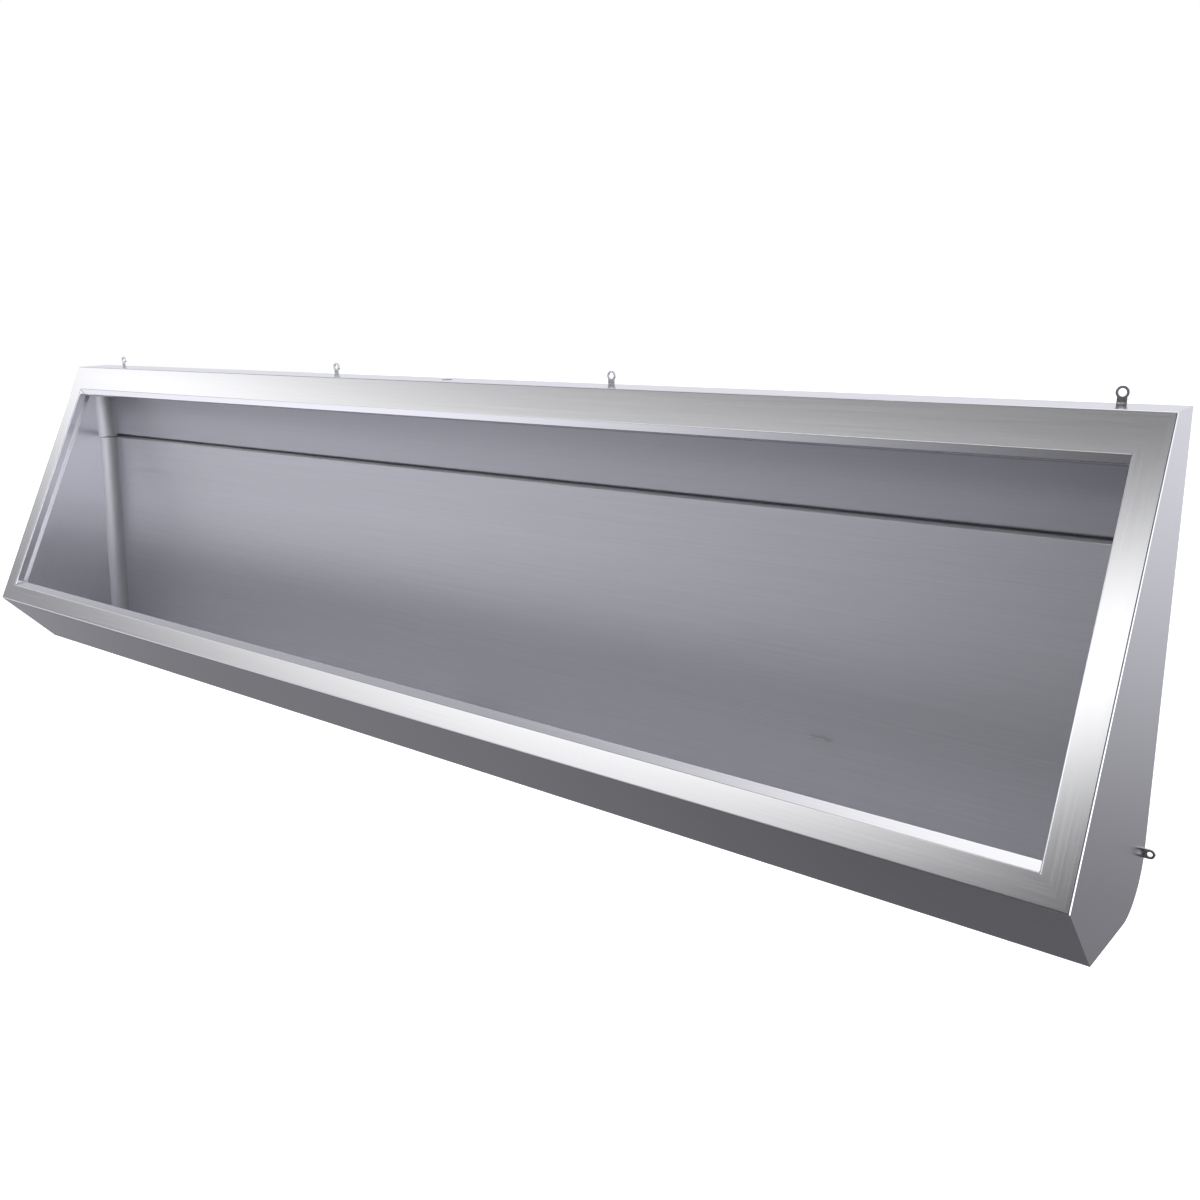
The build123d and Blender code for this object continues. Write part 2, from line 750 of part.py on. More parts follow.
# Skirt welded under the strainer, standing in the waste's bore
skirt_radius = waste_bore - strainer_clearance
with BuildPart() as strainer_skirt:
    skirt_foot_z = strainer_seat_z - skirt_height
    add(disc(skirt_radius, skirt_foot_z, skirt_height, bore=skirt_radius - skirt_wall))
strainer_skirt.part.label = "strainer_skirt"
export_step(strainer_skirt.part, "parts/strainer_skirt.step")

# Knob by which the strainer lifts out
with BuildPart() as strainer_knob:
    knob_foot_z = strainer_seat_z + strainer_plate
    add(disc(knob_neck, knob_foot_z, knob_height))
    add(disc(knob_radius, knob_foot_z + knob_height / 2, knob_height / 2))
    fillet(strainer_knob.edges().filter_by(GeomType.CIRCLE).group_by(Axis.Z)[-1], knob_edge)
strainer_knob.part.label = "strainer_knob"
export_step(strainer_knob.part, "parts/strainer_knob.step")

# Sound-deadening pads under the floor, one between each pair of stiffeners
inner_hat = inner_hat_spacing / 2
outer_hat = half_length - outer_hat_inset
pad_length = outer_hat - inner_hat - 2 * (hat_width / 2 + hat_flange + pad_gap)
with BuildPart() as damping_pads:
    with BuildSketch(lying(pan_underside, underside)):
        with Locations((0, apron_flange + pad_width / 2 + sheet)):
            with GridLocations(inner_hat + outer_hat, 1, 2, 1):
                RectangleRounded(pad_length, pad_width, pad_corner)
    extrude(amount=-pad_thickness)
damping_pads.part.label = "damping_pads"
export_step(damping_pads.part, "parts/damping_pads.step")

# Stiffeners: short top-hat channels welded across the floor's underside
hat_path = [
    (-hat_width / 2 - hat_flange, 0),
    (-hat_width / 2, 0),
    (hat_taper - hat_width / 2, hat_height),
    (hat_width / 2 - hat_taper, hat_height),
    (hat_width / 2, 0),
    (hat_width / 2 + hat_flange, 0),
]
with BuildPart() as floor_stiffeners:
    hat_start = step(pan_underside, underside, apron_flange + hat_gap)
    for hat_x in (inner_hat, outer_hat):
        for hand in (1, -1):
            plane = crossing(hat_start, underside, x=hand * hat_x)
            extrude(to_extrude=folded(hat_path, plane, radius=hat_bend), amount=hat_length)
floor_stiffeners.part.label = "floor_stiffeners"
export_step(floor_stiffeners.part, "parts/floor_stiffeners.step")

# Earthing point: a tag welded under the floor, with its screw, two washers and a nut
earth_x = earth_inset - half_length
tag_top_z = meet((-earth_setback, foot_z), 90, pan_underside, underside)[1]
eye_z = tag_top_z - tag_eye_drop
with BuildPart() as earth_tag:
    with BuildSketch(Plane.XZ.offset(earth_setback - tag_thickness / 2)):
        with Locations((earth_x, tag_top_z + tag_thickness)):
            Rectangle(tag_width, tag_height + tag_thickness, align=(Align.CENTER, Align.MAX))
        with Locations((earth_x, eye_z)):
            Circle(stud_radius + stud_clearance, mode=Mode.SUBTRACT)
    extrude(amount=tag_thickness)
    split(bisect_by=lying(pan_underside, underside), keep=Keep.BOTTOM)
earth_tag.part.label = "earth_tag"
export_step(earth_tag.part, "parts/earth_tag.step")

tag_front = earth_setback + tag_thickness / 2
tag_rear = earth_setback - tag_thickness / 2
with BuildPart() as earth_washers:
    for offset_y in (tag_front, tag_rear - washer_thickness):
        with BuildSketch(Plane.XZ.offset(offset_y)):
            with Locations((earth_x, eye_z)):
                Circle(washer_radius)
                Circle(stud_radius + stud_clearance, mode=Mode.SUBTRACT)
        extrude(amount=washer_thickness)
earth_washers.part.label = "earth_washers"
export_step(earth_washers.part, "parts/earth_washers.step")

head_y = tag_front + washer_thickness
with BuildPart() as earth_screw:
    with BuildSketch(Plane.XZ.offset(head_y)):
        with Locations((earth_x, eye_z)):
            RegularPolygon(hex_radius, 6)
    extrude(amount=hex_height)
    with BuildSketch(Plane.XZ.offset(head_y)):
        with Locations((earth_x, eye_z)):
            Circle(stud_radius)
    extrude(amount=-stud_length)
earth_screw.part.label = "earth_screw"
export_step(earth_screw.part, "parts/earth_screw.step")

with BuildPart() as earth_nut:
    with BuildSketch(Plane.XZ.offset(tag_rear - washer_thickness)):
        with Locations((earth_x, eye_z)):
            RegularPolygon(hex_radius, 6)
            Circle(stud_radius + stud_clearance, mode=Mode.SUBTRACT)
    extrude(amount=-hex_height)
earth_nut.part.label = "earth_nut"
export_step(earth_nut.part, "parts/earth_nut.step")
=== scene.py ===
"""Long wall-hung stainless steel trough urinal: finishes, turned and welded detail, and a pale stage."""

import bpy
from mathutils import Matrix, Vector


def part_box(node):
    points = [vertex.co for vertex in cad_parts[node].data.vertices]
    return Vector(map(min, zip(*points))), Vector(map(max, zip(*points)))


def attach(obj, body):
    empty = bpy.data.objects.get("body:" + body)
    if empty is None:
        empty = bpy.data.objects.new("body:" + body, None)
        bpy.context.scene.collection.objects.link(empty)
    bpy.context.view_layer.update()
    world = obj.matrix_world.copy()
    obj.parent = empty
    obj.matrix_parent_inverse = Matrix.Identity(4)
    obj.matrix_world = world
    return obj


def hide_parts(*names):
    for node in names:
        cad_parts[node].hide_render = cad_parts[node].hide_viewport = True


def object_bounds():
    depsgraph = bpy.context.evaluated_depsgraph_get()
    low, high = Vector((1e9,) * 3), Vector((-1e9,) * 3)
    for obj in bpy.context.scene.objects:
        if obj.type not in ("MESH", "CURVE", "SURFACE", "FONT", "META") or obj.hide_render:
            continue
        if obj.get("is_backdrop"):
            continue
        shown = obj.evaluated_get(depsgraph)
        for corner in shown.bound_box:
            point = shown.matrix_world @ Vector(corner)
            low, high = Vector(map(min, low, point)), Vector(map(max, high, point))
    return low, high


bl_info = {
    "name": "Trough urinal",
    "version": (1, 0, 0),
    "blender": (4, 5, 0),
    "location": "3D View > Sidebar > Urinal",
    "description": "Dresses the packed solids of a stainless steel trough urinal",
    "category": "Object",
}

import math

import bpy
import numpy as np
from mathutils import Matrix, Vector

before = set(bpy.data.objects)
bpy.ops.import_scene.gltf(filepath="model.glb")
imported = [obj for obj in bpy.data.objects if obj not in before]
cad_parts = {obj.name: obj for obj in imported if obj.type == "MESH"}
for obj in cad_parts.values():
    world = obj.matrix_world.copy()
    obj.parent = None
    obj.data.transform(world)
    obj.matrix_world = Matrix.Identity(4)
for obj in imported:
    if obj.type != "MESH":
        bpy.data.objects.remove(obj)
cad_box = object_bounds()

BODY = "urinal"
STRAINER = "strainer"
UP = (0, 0, 1)
OUT = (0, -1, 0)  # from the wall towards the user
QUARTER_TURN = math.radians(90)

# Places on the body in metres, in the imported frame
LEDGE_HEIGHT = -0.0130  # top of the ledge
LUG_PLACES = (-1.121, -0.342, 0.342, 1.121)
CLIP_PLACES = (0.2, 0.6, 1.0)  # on both sides of the middle
STIFFENER_PLACES = (-0.85, -0.25, 0.25, 0.85)
STIFFENER_START = -0.200044  # Y of the stiffeners' front ends
STIFFENER_SHEET = 0.0012
FLOOR_POINT = (-0.227864, -0.638808)  # Y and Z of one point on the floor's underside
FLOOR_SLOPE = math.radians(-6.5)  # the floor drops towards the wall

# Soft boxes: azimuth, elevation, width and depth in degrees, then strength
FRONT_BOX = (-56.0, -13.0, 27.0, 15.0, 1.6)
RIGHT_BOX = (80.0, -8.0, 31.0, 30.0, 3.4)
COOL_TINT = (0.975, 0.975, 1.055, 1.0)


# Shader maths


class Term:
    """A socket's value in a node tree. Expressions on terms add the Math nodes they need."""

    def __init__(self, graph, socket):
        self.graph = graph
        self.socket = socket

    def math(self, operation, *others):
        inputs = {i: value for i, value in enumerate((self, *others))}
        return self.graph.add("ShaderNodeMath", {"operation": operation}, inputs)[0]

    def __add__(self, other):
        return self.math("ADD", other)

    __radd__ = __add__

    def __mul__(self, other):
        return self.math("MULTIPLY", other)

    __rmul__ = __mul__

    def __sub__(self, other):
        return self.math("SUBTRACT", other)

    def __rsub__(self, other):
        return self.math("MULTIPLY", -1.0).math("ADD", other)

    def __truediv__(self, other):
        return self.math("DIVIDE", other)

    def clamped(self):
        return self.math("MAXIMUM", 0.0).math("MINIMUM", 1.0)


class Outputs:
    """Output sockets of one node, picked by name or by number."""

    def __init__(self, graph, node):
        self.graph = graph
        self.node = node

    def __getitem__(self, key):
        return Term(self.graph, self.node.outputs[key])


class Graph:
    """A material's or the world's node tree."""

    def __init__(self, tree):
        self.tree = tree
        tree.nodes.clear()

    def add(self, kind, settings=None, inputs=None):
        """Adds a node of a type, sets its settings first and then its sockets' values or links."""
        node = self.tree.nodes.new(kind)
        for name, value in (settings or {}).items():
            setattr(node, name, value)
        for key, value in (inputs or {}).items():
            socket = node.inputs[key]
            if isinstance(value, Term):
                self.tree.links.new(value.socket, socket)
            else:
                socket.default_value = value
        return Outputs(self, node)

    def mix_colour(self, factor, first, second, blend="MIX"):
        settings = {"data_type": "RGBA", "blend_type": blend}
        return self.add("ShaderNodeMix", settings, {0: factor, 6: first, 7: second})[2]

    def noise(self, vector, scale, detail=2.0, roughness=0.5):
        inputs = {"Vector": vector, "Scale": scale, "Detail": detail, "Roughness": roughness}
        return self.add("ShaderNodeTexNoise", None, inputs)["Fac"]


# Finishes


def new_material(name):
    material = bpy.data.materials.new(name)
    material.use_nodes = True
    return material, Graph(material.node_tree)


def close_material(graph, inputs):
    """Adds the surface shader with its inputs and links it to the output."""
    shader = graph.add("ShaderNodeBsdfPrincipled", None, inputs)[0]
    graph.add("ShaderNodeOutputMaterial", None, {"Surface": shader})


def shades(colour, darker, lighter):
    """A darker and a lighter form of a colour, for a mix."""
    dark = tuple(c * darker for c in colour) + (1.0,)
    light = tuple(min(1.0, c * lighter) for c in colour) + (1.0,)
    return dark, light


def grained_steel(name, look, turn, roughness, streak=1.0, tint=None):
    """Brushed sheet: long fine scratches along local X after the turn, faint bands and soft waves.

    Colour and roughness follow noise stretched along the grain, and the bump adds the same noise
    to a broad, very shallow wave, as rolled sheet has."""
    material, graph = new_material(name)
    place = graph.add("ShaderNodeTexCoord")["Object"]
    point = {"vector_type": "POINT"}
    grain_place = graph.add("ShaderNodeMapping", point, {"Vector": place, "Rotation": turn})[0]

    def stretched(along, across):
        scale = (1 / along, 1 / across, 1 / across)
        return graph.add("ShaderNodeMapping", None, {"Vector": grain_place, "Scale": scale})[0]

    fine = graph.noise(stretched(0.060, 0.00045), 1.0, 3.0, 0.6)
    coarse = graph.noise(stretched(0.300, 0.0030), 1.0, 2.0, 0.55)
    band = graph.noise(stretched(0.900, 0.030), 1.0, 2.0, 0.5)
    broad = graph.noise(place, 2.6, 1.0, 0.4)
    streaks = (fine - 0.5) * 0.5 + (coarse - 0.5) * 0.5
    shade = (streaks * (look.streak_depth * streak) + (band - 0.5) * 0.06 + 0.5).clamped()
    colour = graph.mix_colour(shade, *shades(tint or look.steel_colour, 0.80, 1.20))
    rough = (streaks * 0.10 + (band - 0.5) * 0.06 + roughness).clamped()
    height = fine * 0.35 + coarse * 0.25
    scratches = {"Strength": 0.10 * streak, "Distance": 0.00006, "Height": height}
    grain = graph.add("ShaderNodeBump", None, scratches)[0]
    waves = {"Strength": 0.12, "Distance": 0.0009, "Height": broad, "Normal": grain}
    normal = graph.add("ShaderNodeBump", None, waves)[0]
    close_material(
        graph,
        {"Base Color": colour, "Metallic": 1.0, "Roughness": rough, "Normal": normal},
    )
    return material


def cast_metal(name, colour, roughness, mottling=0.12, scale=220.0):
    """Turned or plated metal: slight mottling of colour and roughness, and a fine bump."""
    material, graph = new_material(name)
    place = graph.add("ShaderNodeTexCoord")["Object"]
    fine = graph.noise(place, scale, 3.0, 0.6)
    soft = graph.noise(place, scale * 0.12, 2.0, 0.5)
    shade = ((fine - 0.5) * mottling * 2.0 + (soft - 0.5) * mottling * 2.0 + 0.5).clamped()
    mixed = graph.mix_colour(shade, *shades(colour, 0.75, 1.2))
    rough = ((fine - 0.5) * 0.12 + (soft - 0.5) * 0.10 + roughness).clamped()
    bump = graph.add("ShaderNodeBump", None, {"Strength": 0.12, "Distance": 0.00008, "Height": fine})[0]
    close_material(
        graph,
        {"Base Color": mixed, "Metallic": 1.0, "Roughness": rough, "Normal": bump},
    )
    return material


def moulded(name, colour, roughness, grain=900.0, depth=0.0001):
    """Rubber or plastic: a fine moulded grain over a slow drift of colour."""
    material, graph = new_material(name)
    place = graph.add("ShaderNodeTexCoord")["Object"]
    fine = graph.noise(place, grain, 2.0, 0.6)
    soft = graph.noise(place, 14.0, 2.0, 0.5)
    shade = ((fine - 0.5) * 0.5 + (soft - 0.5) * 0.8 + 0.5).clamped()
    mixed = graph.mix_colour(shade, *shades(colour, 0.7, 1.3))
    rough = ((soft - 0.5) * 0.2 + roughness).clamped()
    bump = graph.add("ShaderNodeBump", None, {"Strength": 0.3, "Distance": depth, "Height": fine})[0]
    close_material(
        graph,
        {"Base Color": mixed, "Roughness": rough, "Normal": bump},
    )
    return material


def dress_all(finishes):
    """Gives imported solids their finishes, from lists of nodes by material."""
    for material, nodes in finishes.items():
        for node in nodes:
            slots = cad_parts[node].data.materials
            slots.clear()
            slots.append(material)


# Surfaces


def grid_faces(rows, columns):
    """Faces between the rings of a grid, each ring closed round."""
    row = np.arange(rows - 1)[:, None]
    column = np.arange(columns)[None, :]
    near = row * columns + column
    far = row * columns + (column + 1) % columns
    return np.stack([near, far, far + columns, near + columns], axis=-1).reshape(-1, 4)


def closing_faces(rows, columns):
    """Faces that join the last ring of a grid to its first."""
    column = np.arange(columns)
    ahead = (column + 1) % columns
    last = (rows - 1) * columns
    return np.stack([last + column, last + ahead, ahead, column], axis=-1)


def cap_faces(ring, pole, flip):
    """Triangles from a ring of corner numbers to one pole."""
    ahead = np.roll(ring, -1)
    tip = np.full_like(ring, pole)
    return np.stack([ahead, ring, tip] if flip else [ring, ahead, tip], axis=-1)


def volume_inside(points, quads, caps):
    """Six times the signed volume inside a closed mesh of quads and triangles."""
    triangles = np.concatenate([quads[:, [0, 1, 2]], quads[:, [0, 2, 3]], caps])
    a, b, c = (points[triangles[:, i]] for i in range(3))
    return np.einsum("ij,ij->i", a, np.cross(b, c)).sum()


def add_piece(name, shells, material, body, sharp=30.0):
    """Makes one piece from closed shells of (points, quads, caps), faces outwards, and lets it ride."""
    places, faces, start = [], [], 0
    for points, quads, caps in shells:
        middle = points.mean(axis=0)
        order = -1 if volume_inside(points - middle, quads, caps) < 0 else 1
        places.append(points)
        faces += (quads[:, ::order] + start).tolist() + (caps[:, ::order] + start).tolist()
        start += len(points)
    mesh = bpy.data.meshes.new(name)
    mesh.from_pydata(np.concatenate(places).tolist(), [], faces)
    mesh.polygons.foreach_set("use_smooth", [True] * len(mesh.polygons))
    mesh.set_sharp_from_angle(angle=math.radians(sharp))
    mesh.materials.append(material)
    mesh.update()
    piece = bpy.data.objects.new(name, mesh)
    bpy.context.scene.collection.objects.link(piece)
    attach(piece, body)
    return piece


def turned(profile, foot, axis, sides, swell=None, ring=False):
    """A profile of (radius, height) rows carried round an axis that starts at a foot point.

    A point is foot + radius * (cos t * u + sin t * v) + height * axis. The optional swell(t, radius,
    height) gives a new radius, as a thread, a knurl or flats do. A ring's profile is closed on itself,
    and any other profile is closed by a pole on the axis at each end."""
    rows = np.asarray(profile, float)
    w = np.asarray(axis, float)
    u = np.cross(w, (w[1], w[2], w[0]))
    v = np.cross(w, u)
    t = np.linspace(0, 2 * np.pi, sides, endpoint=False)[None, :] + 0 * rows[:, :1]
    radius = rows[:, :1] + 0 * t
    height = rows[:, 1:2] + 0 * t
    if swell is not None:
        radius = swell(t, radius, height)
    points = np.asarray(foot, float) + height[..., None] * w
    points = points + radius[..., None] * (np.cos(t)[..., None] * u + np.sin(t)[..., None] * v)
    points = points.reshape(-1, 3)
    count = len(rows)
    quads = grid_faces(count, sides)
    if ring:
        return points, np.concatenate([quads, closing_faces(count, sides)]), np.zeros((0, 3), int)
    ends = np.asarray(foot, float) + rows[[0, -1], 1:2] * w
    first = cap_faces(np.arange(sides), count * sides, True)
    last = cap_faces((count - 1) * sides + np.arange(sides), count * sides + 1, False)
    return np.concatenate([points, ends]), quads, np.concatenate([first, last])


def carried(section, path, across, closed=False):
    """A closed section of (side, up) points carried along a path.

    A point is path(s) + side * n(s) + up * m(s), where the tangent, n and m are at right angles and m
    is the part of the across direction that is square to the tangent. An open path's ends are capped."""
    path = np.asarray(path, float)
    tangent = np.roll(path, -1, 0) - np.roll(path, 1, 0) if closed else np.gradient(path, axis=0)
    tangent /= np.linalg.norm(tangent, axis=1, keepdims=True)
    up = np.asarray(across, float) - tangent * (tangent @ np.asarray(across, float))[:, None]
    up /= np.linalg.norm(up, axis=1, keepdims=True)
    side = np.cross(tangent, up)
    section = np.asarray(section, float)
    if section.ndim == 2:
        section = np.repeat(section[None], len(path), axis=0)
    points = path[:, None] + section[..., :1] * side[:, None] + section[..., 1:] * up[:, None]
    rows, columns = points.shape[:2]
    points = points.reshape(-1, 3)
    quads = grid_faces(rows, columns)
    if closed:
        return points, np.concatenate([quads, closing_faces(rows, columns)]), np.zeros((0, 3), int)
    ends = path[[0, -1]] + section[[0, -1]].mean(axis=1)[:, :1] * side[[0, -1]]
    ends = ends + section[[0, -1]].mean(axis=1)[:, 1:] * up[[0, -1]]
    first = cap_faces(np.arange(columns), rows * columns, True)
    last = cap_faces((rows - 1) * columns + np.arange(columns), rows * columns + 1, False)
    return np.concatenate([points, ends]), quads, np.concatenate([first, last])


def weld_bead(path, across, radius, closed=False):
    """Round bead whose radius swells in ripples along its path, smaller at the ends of an open one."""
    path = np.asarray(path, float)
    count = len(path)
    t = np.linspace(0, 2 * np.pi, 8, endpoint=False)
    size = 1.0 + 0.14 * np.sin(np.arange(count) * 2 * np.pi / 4)
    if not closed:
        from_end = np.minimum(np.arange(count), count - 1 - np.arange(count))
        size = size * np.sqrt(np.clip(from_end / 3, 0.12, 1))
    section = radius * size[:, None, None] * np.stack([np.cos(t), np.sin(t)], axis=-1)[None]
    return carried(section, path, across, closed)


def line(start, end, spacing):
    """Evenly spaced points from a start to an end."""
    start, end = np.asarray(start, float), np.asarray(end, float)
    count = max(4, int(np.linalg.norm(end - start) / spacing) + 1)
    return start + np.linspace(0, 1, count)[:, None] * (end - start)


def rounded(centre, radius, start, turn, steps=4):
    """Points (radius, height) of an arc about a centre, its angles in degrees."""
    angle = np.radians(start + np.linspace(0, turn, steps))
    return [(centre[0] + radius * math.cos(a), centre[1] + radius * math.sin(a)) for a in angle]


def floor_height(y):
    """Height of the sloping floor's underside at a place between apron and wall."""
    return FLOOR_POINT[1] + (y - FLOOR_POINT[0]) * math.tan(FLOOR_SLOPE)


def hexagon(across_flats):
    """Swell that cuts a round profile to six flats."""

    def cut(t, radius, height):
        wedge = (t + math.pi / 6) % (math.pi / 3) - math.pi / 6
        return np.minimum(radius, across_flats / 2 / np.cos(wedge))

    return cut


def thread(crest, depth, pitch, low, high, inward):
    """Swell that winds a round-rooted thread between two heights of a turned profile."""

    def wind(t, radius, height):
        wave = 0.5 + 0.5 * np.cos(2 * np.pi * height / pitch - t)
        fade = np.clip(np.minimum(height - low, high - height) / pitch, 0, 1)
        cut = depth * wave * fade * (np.abs(radius - crest) < depth / 4)
        return radius - cut if inward else radius + cut

    return wind


# What a user sets


def length(name, description, default):
    """A length in metres, shown to a hundredth of a millimetre."""
    return bpy.props.FloatProperty(
        name=name, description=description, default=default, unit="LENGTH", precision=5
    )


def turn_angle(name, description, degrees):
    """An angle given in degrees."""
    return bpy.props.FloatProperty(
        name=name, description=description, default=math.radians(degrees), subtype="ANGLE"
    )


def share(name, description, default):
    """A value from 0 to 1."""
    return bpy.props.FloatProperty(
        name=name, description=description, default=default, min=0.0, max=1.0, subtype="FACTOR"
    )


def tint(name, description, default):
    """A base colour."""
    return bpy.props.FloatVectorProperty(
        name=name, description=description, default=default, size=3, subtype="COLOR"
    )


class UrinalFinish(bpy.types.PropertyGroup):
    steel_colour: tint("Steel colour", "Colour of the brushed sheet", (0.66, 0.66, 0.675))
    # Painted light: the trough's inside is the same steel, its base colour painted lighter and bluer to
    # stand in for light inside the trough.
    inside_colour_painted_light: tint("Inside colour", "Base colour of the trough's inside", (0.76, 0.76, 0.80))
    # Painted shade: the header's base colour is the same steel painted darker and bluer for the shade
    # under the top rail.
    header_colour_painted_shade: tint("Header colour", "Base colour of the header", (0.63, 0.63, 0.67))
    steel_roughness: share("Steel roughness", "Mean roughness of the brushed sheet", 0.20)
    inside_roughness: share("Inside roughness", "Mean roughness of the trough's inside", 0.58)
    streak_depth: share("Streaks", "Contrast of the brushing", 0.5)
    face_tilt: turn_angle("Grain tilt", "Lean of the grain on the end panels", 27.5)


class UrinalDetail(bpy.types.PropertyGroup):
    waste_pitch: length("Waste thread", "Pitch of the waste's thread", 0.002309)
    inlet_pitch: length("Inlet thread", "Pitch of the inlet's thread", 0.001814)
    thread_depth: length("Thread depth", "Depth of both threads", 0.0009)
    bead_radius: length("Weld bead", "Radius of the weld beads", 0.0013)
    knurls: bpy.props.IntProperty(
        name="Knurls", description="Ribs round the strainer's knob", default=30, min=6
    )


class UrinalStage(bpy.types.PropertyGroup):
    floor_drop: length("Floor", "Height of the fixing eyes above the floor", 1.09)
    floor_half: length("Floor half-width", "Half the width of the floor", 14.0)
    camera_place: bpy.props.FloatVectorProperty(
        name="Camera place",
        description="Where the camera stands",
        default=(1.49067, -1.49403, 0.13851),
        size=3,
        subtype="TRANSLATION",
    )
    camera_yaw: turn_angle("Yaw", "Camera's turn about the upright", 38.43478)
    camera_pitch: turn_angle("Pitch", "Camera's tilt up", -15.25296)
    camera_roll: turn_angle("Roll", "Camera's turn about its own line of sight", 1.50419)
    lens: bpy.props.FloatProperty(
        name="Lens", description="Focal length in mm on a 36 mm wide sensor", default=34.4055, min=1.0
    )


# Operators


class URINAL_OT_sheet(bpy.types.Operator):
    """Brushed finish on the folded and welded sheet"""

    bl_idname = "urinal.sheet"
    bl_label = "Sheet metal"

    def execute(self, context):
        look = context.scene.urinal_finish
        outer, inner = look.steel_roughness, look.inside_roughness
        level, lean = (0, 0, 0), (look.face_tilt, QUARTER_TURN, 0)
        along = grained_steel("brushed_lengthwise", look, level, outer)
        # Painted light: a lighter, bluer copy of the steel for the trough's inside.
        inside = grained_steel("brushed_inside_painted_light", look, level, inner, 1.3, look.inside_colour_painted_light)
        # Painted shade: a darker, bluer copy of the steel for the header and the ledge gussets.
        header = grained_steel("brushed_header_painted_shade", look, level, inner, 1.3, look.header_colour_painted_shade)
        upright = grained_steel("brushed_upright", look, lean, outer)
        cove = grained_steel("brushed_cove", look, (0, QUARTER_TURN, 0), inner)
        dress_all(
            {
                along: (
                    "top_rail",
                    "front_apron",
                    "heel_brackets",
                    "floor_stiffeners",
                    "waste_cup",
                    "wall_sheet",
                ),
                inside: ("trough_pan",),
                header: ("header_panel", "ledge_gussets"),
                upright: ("left_end_panel", "right_end_panel", "fixing_lugs", "side_ears", "earth_tag"),
                cove: ("left_corner_cove", "right_corner_cove"),
            }
        )
        return {"FINISHED"}


class URINAL_OT_fittings(bpy.types.Operator):
    """Finishes of the pipe, waste, rubber and small parts"""

    bl_idname = "urinal.fittings"
    bl_label = "Fittings"

    def execute(self, context):
        tube = cast_metal("drawn_tube", (0.60, 0.60, 0.61), 0.24, scale=400.0)
        bright = cast_metal("polished_steel", (0.72, 0.72, 0.73), 0.12, mottling=0.05)
        zinc = cast_metal("zinc_plate", (0.62, 0.63, 0.62), 0.34, mottling=0.2)
        brass = cast_metal("turned_brass", (0.72, 0.52, 0.22), 0.26, mottling=0.12)
        rubber = moulded("black_rubber", (0.022, 0.022, 0.024), 0.62)
        cast_metal("weld_metal", (0.56, 0.55, 0.53), 0.34, mottling=0.3, scale=700.0)
        plastic = moulded("white_plastic", (0.72, 0.72, 0.70), 0.42)
        pad = moulded("sound_pad", (0.035, 0.035, 0.038), 0.85, grain=260.0, depth=0.0006)
        dress_all(
            {
                tube: (
                    "flush_pipe",
                    "pipe_end_caps",
                    "pipe_clips",
                    "clip_rivets",
                    "inlet_socket",
                    "inlet_elbow",
                ),
                bright: ("waste_body", "waste_strainer", "strainer_skirt", "strainer_knob"),
                zinc: ("earth_washers", "earth_screw", "earth_nut"),
                brass: ("waste_backnut",),
                rubber: ("inlet_grommet", "waste_gasket"),
                plastic: ("waste_washer",),
                pad: ("damping_pads",),
            }
        )
        return {"FINISHED"}


class URINAL_OT_waste(bpy.types.Operator):
    """Threaded spigot of the waste and the knurled knob of its strainer"""

    bl_idname = "urinal.waste"
    bl_label = "Waste"

    def execute(self, context):
        detail = context.scene.urinal_detail
        bright = bpy.data.materials["polished_steel"]
        self.spigot(detail, bright)
        self.knob(detail, bright)
        return {"FINISHED"}

    def spigot(self, detail, bright):
        """Flange, threaded spigot and plain tail round one bore."""
        low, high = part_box("waste_body")
        flange, top, foot = (high[0] - low[0]) / 2, high[2], low[2]
        spigot, bore, tail = 0.0239, 0.0190, 0.0200
        tail_length, flange_thickness = 0.0080, 0.0020
        chamfer, rim, small = 0.0008, 0.0007, 0.0003
        tail_chamfer, runout = 0.0005, 0.0004
        shoulder = foot + tail_length
        under = top - flange_thickness
        wound = np.linspace(shoulder + chamfer, under - runout, 46)
        rows = [(bore, foot), (bore, top - chamfer), (bore + chamfer, top)]
        rows += rounded((flange - rim, top - rim), rim, 90, -90)
        rows += [(flange, under + small), (flange - small, under), (spigot, under)]
        rows += [(spigot, z) for z in wound[::-1]]
        rows += [(spigot - chamfer, shoulder), (tail, shoulder)]
        rows += [(tail, foot + tail_chamfer), (tail - tail_chamfer, foot)]
        cut = thread(spigot, detail.thread_depth, detail.waste_pitch, wound[0], wound[-1], True)
        axis_foot = ((low[0] + high[0]) / 2, (low[1] + high[1]) / 2, 0.0)
        shell = turned(rows, axis_foot, UP, 96, cut, ring=True)
        piece = add_piece("waste_spigot", [shell], bright, BODY)
        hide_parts("waste_body")

    def knob(self, detail, bright):
        """Waisted stem under a head whose edge is ribbed."""
        low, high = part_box("strainer_knob")
        radius, height = (high[0] - low[0]) / 2, high[2] - low[2]
        stem, waist, neck, collar = 0.0029, 0.0026, 0.0027, 0.0044
        rim, rib_depth, dimple = 0.0014, 0.00035, 0.4
        rows = [(stem, 0), (waist, height * 0.25), (neck, height * 0.42), (collar, height * 0.50)]
        rows += [(radius, height * level) for level in (0.56, 0.66, 0.80)]
        rows += rounded((radius - rim, height - rim), rim, 30, 60)
        rows += [(radius * dimple, height)]

        def knurl(t, r, h):
            rib = 0.5 - 0.5 * np.cos(detail.knurls * t)
            return r - rib_depth * rib * (r > radius * 0.97)

        foot = ((low[0] + high[0]) / 2, (low[1] + high[1]) / 2, low[2])
        shell = turned(rows, foot, UP, detail.knurls * 6, knurl)
        piece = add_piece("knurled_knob", [shell], bright, STRAINER)
        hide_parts("strainer_knob")


